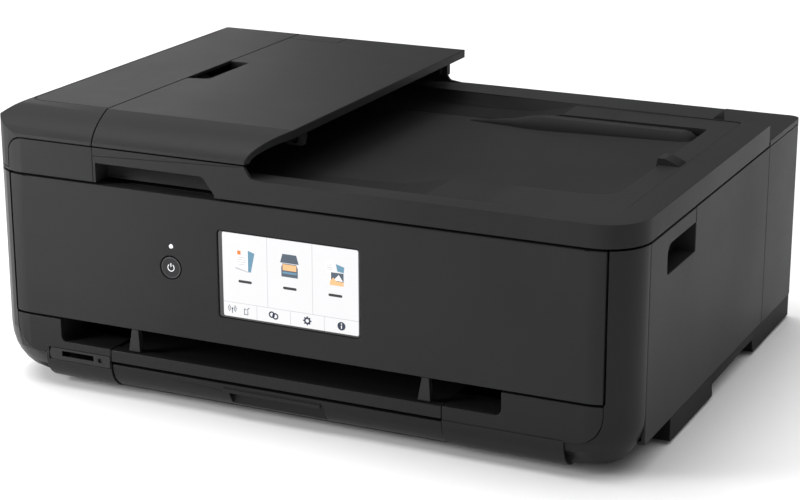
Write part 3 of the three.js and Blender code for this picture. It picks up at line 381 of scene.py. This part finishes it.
def refined(node, width, material=None):
    """A copy of a CAD node with its flat faces joined up and its edges rounded."""
    mesh = NODES[node].data.copy()
    bm = bmesh.new()
    bm.from_mesh(mesh)
    bmesh.ops.remove_doubles(bm, verts=bm.verts, dist=WELD * MM)
    bmesh.ops.dissolve_limit(bm, angle_limit=math.radians(FLAT_ANGLE), verts=bm.verts,
                             edges=bm.edges)
    bm.to_mesh(mesh)
    bm.free()
    mesh.polygons.foreach_set("use_smooth", [True] * len(mesh.polygons))
    mesh.set_sharp_from_angle(angle=math.radians(SHARP_ANGLE))
    slot = SLOT_OF[node]
    piece = new_piece(node + "_shape", mesh, NODES[node]["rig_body"],
                      material or M[MATERIAL_OF_SLOT[slot]])
    if width > 0:
        edge = piece.modifiers.new("edges", "BEVEL")
        edge.width = width * MM
        edge.segments = 2
        edge.limit_method = "ANGLE"
        edge.angle_limit = math.radians(SHARP_ANGLE)
        edge.use_clamp_overlap = False
        edge.miter_outer = "MITER_ARC"
        even = piece.modifiers.new("even_shading", "WEIGHTED_NORMAL")
        even.keep_sharp = True
        even.weight = 100
    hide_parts(node)
    return piece


def plate(name, polygons, y0, y1, body, material):
    """Flat shapes facing -Y, from outlines in millimetres of X and Z, each y1 - y0 thick."""
    bm = bmesh.new()
    for points in polygons:
        front = [bm.verts.new((x * MM, y0 * MM, z * MM)) for x, z in points]
        rear = [bm.verts.new((x * MM, y1 * MM, z * MM)) for x, z in points]
        count = len(points)
        bm.faces.new(front)
        bm.faces.new(rear[::-1])
        for i in range(count):
            bm.faces.new((front[i], rear[i], rear[(i + 1) % count], front[(i + 1) % count]))
    bmesh.ops.recalc_face_normals(bm, faces=bm.faces)
    mesh = bpy.data.meshes.new(name)
    bm.to_mesh(mesh)
    bm.free()
    return new_piece(name, mesh, body, material)


def rect(x0, x1, z0, z1):
    return [(x0, z0), (x1, z0), (x1, z1), (x0, z1)]


def rounded(x0, x1, z0, z1, radius, steps=6):
    points = []
    for cx, cz, start in ((x1 - radius, z0 + radius, -90), (x1 - radius, z1 - radius, 0),
                          (x0 + radius, z1 - radius, 90), (x0 + radius, z0 + radius, 180)):
        for step in range(steps + 1):
            angle = math.radians(start + 90 * step / steps)
            points.append((cx + radius * math.cos(angle), cz + radius * math.sin(angle)))
    return points


def disc(cx, cz, radius, steps=24):
    turns = [math.tau * i / steps for i in range(steps)]
    return [(cx + radius * math.cos(turn), cz + radius * math.sin(turn)) for turn in turns]


def arc_band(cx, cz, inner, outer, start, end, steps=20):
    """A curved band between two angles in degrees, as four-cornered pieces."""
    bands = []
    for i in range(steps):
        a, b = (math.radians(start + (end - start) * (i + k) / steps) for k in (0, 1))
        bands.append([(cx + r * math.cos(t), cz + r * math.sin(t))
                      for r, t in ((inner, a), (outer, a), (outer, b), (inner, b))])
    return bands


# ---- Body, lid and mechanism: the CAD nodes with rounded edges ------------------------------

# Width of the rounding in millimetres. The four at 0 get holes or spikes from the modifier, so
# only their material softens the edges.
EDGE = {
    "operation_panel": 0.5, "lid_frame": 0, "feeder_cover": 0.4, "document_tray": 0.45,
    "side_cover_left": 0.5, "side_cover_right": 0.5, "front_column_left": 0,
    "front_column_right": 0, "rear_cover": 0, "card_slot_plate": 0.12, "platen_glass": 0.2,
    "feeder_glass": 0.2, "touch_screen": 0.25, "power_button": 0.3, "status_lamp": 0.15,
    "drive_belt": 0.15, "usb_port": 0.25, "power_inlet": 0.3, "rear_tray_cover": 0.25,
}

for node in NODES:
    refined(node, EDGE.get(node, EDGE_WIDTH), M["lid"] if node == "lid_frame" else None)


# ---- Control panel ---------------------------------------------------------------------------

def make_power_button():
    x, z = -88.8, 99.9
    face = FRONT + 0.2
    plate("power_ring", arc_band(x, z, 6.6, 7.25, 0, 360, 48), face - 0.06, face + 0.2,
          "power_button", M["bezel"])
    symbol = arc_band(x, z, 2.15, 2.65, 125, 415, 28)
    symbol.append(rect(x - 0.27, x + 0.27, z + 0.5, z + 3.1))
    plate("power_symbol", symbol, face - 0.05, face + 0.2, "power_button", M["lamp"])


def make_display():
    body, slot = "operation_panel", "screen"
    face = FRONT + 0.8
    left, right, bottom, top = -49.5, 49.5, 72.4, 129.8
    bar = bottom + 9.9
    ink = {
        "sheet": lit("display_white", (0.86, 0.86, 0.87)),
        "line": lit("display_line", (0.60, 0.60, 0.62)),
        "paper": lit("display_paper", (1.0, 1.0, 1.0)),
        "orange": lit("display_orange", (0.93, 0.22, 0.02)),
        "blue": lit("display_blue", (0.13, 0.30, 0.43)),
        "slate": lit("display_slate", (0.07, 0.10, 0.14)),
        "glow": lit("display_glow", (1.0, 0.55, 0.25)),
        "navy": lit("display_navy", (0.006, 0.018, 0.05)),
        "pale": lit("display_pale", (0.55, 0.56, 0.58)),
        "word": lit("display_word", (0.01, 0.01, 0.012)),
    }

    def layer(name, polygons, colour, level):
        plate(name, polygons, face - 0.03 * level, face + 0.1, body, ink[colour])

    layer("display_ground", [rounded(left, right, bottom, top, 1.2)], "sheet", 1)
    third = (right - left) / 3
    quarter = (right - left) / 4
    lines = [rect(left + third * i - 0.2, left + third * i + 0.2, bar, top) for i in (1, 2)]
    lines += [rect(left + quarter * i - 0.2, left + quarter * i + 0.2, bottom, bar)
              for i in (1, 2, 3)]
    lines.append(rect(left, right, bar - 0.2, bar + 0.2))
    layer("display_lines", lines, "line", 2)

    x, z = left + third / 2, 112.5
    layer("icon_copy_shadow", [[(x - 7, z - 6.6), (x + 3, z - 8.4), (x + 3, z - 7),
                                (x - 7, z - 5.4)]], "pale", 2)
    layer("icon_copy_back", [[(x + 2, z + 6.8), (x + 7.4, z + 5.2), (x + 4.4, z - 8.2),
                              (x + 0.5, z - 7)]], "blue", 2)
    layer("icon_copy_page", [[(x - 6.6, z + 7.4), (x + 2.4, z + 7.4), (x + 2.4, z - 7.6),
                              (x - 6.6, z - 5.4)]], "paper", 3)
    layer("icon_copy_lines", [rect(x - 5, x + 1, z + dz, z + dz + 0.5)
                              for dz in (1.2, -0.4, -2, -3.6)], "pale", 4)
    layer("icon_copy_mark", [rect(x - 5.4, x - 2.8, z + 3.2, z + 6)], "orange", 4)

    x = (left + right) / 2
    layer("icon_scan_base", [[(x - 6, z - 1), (x - 5, z + 1.6), (x + 5, z + 1.6), (x + 6, z - 1),
                              (x + 6, z - 7.4), (x - 6, z - 7.4)]], "slate", 2)
    layer("icon_scan_lid", [[(x - 5, z + 8), (x + 5, z + 8), (x + 6.8, z + 2),
                             (x - 6.8, z + 2)]], "slate", 3)
    layer("icon_scan_band", [rect(x - 5.2, x + 5.2, z - 5.2, z - 3.9)], "blue", 3)
    layer("icon_scan_glow", [rect(x - 5, x + 5, z - 3, z + 1.1)], "glow", 4)

    x = right - third / 2
    layer("icon_print_page", [[(x - 7.4, z + 6.6), (x - 1.6, z + 7.6), (x + 1.4, z - 4),
                               (x - 4.6, z - 5.4)]], "paper", 2)
    layer("icon_print_lines", [[(x - 5.8, z + dz), (x - 1.8, z + dz + 0.7), (x - 1.8, z + dz + 1.2),
                                (x - 5.8, z + dz + 0.5)] for dz in (4.4, 2.8, 1.2)], "pale", 3)
    layer("icon_print_sheet", [[(x + 0.6, z + 6.2), (x + 6.6, z + 4.6), (x + 6.2, z + 0.8),
                                (x + 1.6, z + 1.4)]], "blue", 3)
    layer("icon_print_picture", [rect(x - 3, x + 6, z - 7, z + 0.4)], "slate", 4)
    layer("icon_print_hill", [[(x - 1.4, z - 5), (x + 2.6, z - 0.8), (x + 5.6, z - 5)]], "paper", 5)
    layer("icon_print_ground", [[(x - 3.8, z - 8.2), (x + 6, z - 8.2), (x + 6, z - 5.4),
                                 (x + 1, z - 5.4), (x - 1.4, z - 3), (x - 3.8, z - 5.8)]],
          "glow", 6)

    for index in range(3):
        middle = left + third * (index + 0.5)
        layer(f"caption_{index}", [rounded(middle - 5, middle + 5, 96.6, 98.4, 0.9)], "word", 2)

    z = bottom + 5
    layer("icon_signal", arc_band(left + 6.4, z + 0.6, 0.0, 0.7, 0, 360, 10)
          + [band for r in (1.5, 2.6) for side in (0, 180)
             for band in arc_band(left + 6.4, z + 0.6, r, r + 0.5, side - 50, side + 50, 8)]
          + [rect(left + 6.1, left + 6.7, z - 2.6, z + 0.6)], "slate", 2)
    phone = [rect(left + 15.2, left + 18.2, z - 2.6, z - 2.1),
             rect(left + 15.2, left + 15.7, z - 2.6, z + 1.6),
             rect(left + 17.7, left + 18.2, z - 2.6, z + 0.4),
             rect(left + 15.2, left + 16.8, z + 1.1, z + 1.6),
             [(left + 17, z + 0.8), (left + 19, z + 2.8), (left + 19.4, z + 2.4),
              (left + 17.4, z + 0.4)]]
    layer("icon_phone", phone, "slate", 2)
    cx = left + quarter * 1.5
    layer("icon_rings", arc_band(cx - 1.3, z + 0.4, 1.3, 2.3, 0, 360, 20)
          + arc_band(cx + 1.3, z - 0.4, 1.3, 2.3, 0, 360, 20), "navy", 2)
    cx = left + quarter * 2.5
    teeth = [[(cx + r * math.cos(a + k), z + r * math.sin(a + k)) for r, k in
              ((2.0, -0.24), (3.1, -0.15), (3.1, 0.15), (2.0, 0.24))] for a in
             [math.tau * i / 8 for i in range(8)]]
    layer("icon_gear", arc_band(cx, z, 1.2, 2.4, 0, 360, 24) + teeth, "navy", 2)
    cx = left + quarter * 3.5
    layer("icon_info", [disc(cx, z, 2.9)], "navy", 2)
    layer("icon_info_mark", [rect(cx - 0.35, cx + 0.35, z - 1.7, z + 0.5),
                             disc(cx, z + 1.5, 0.45, 10)], "paper", 3)


make_camera()
make_studio()
make_power_button()
make_display()
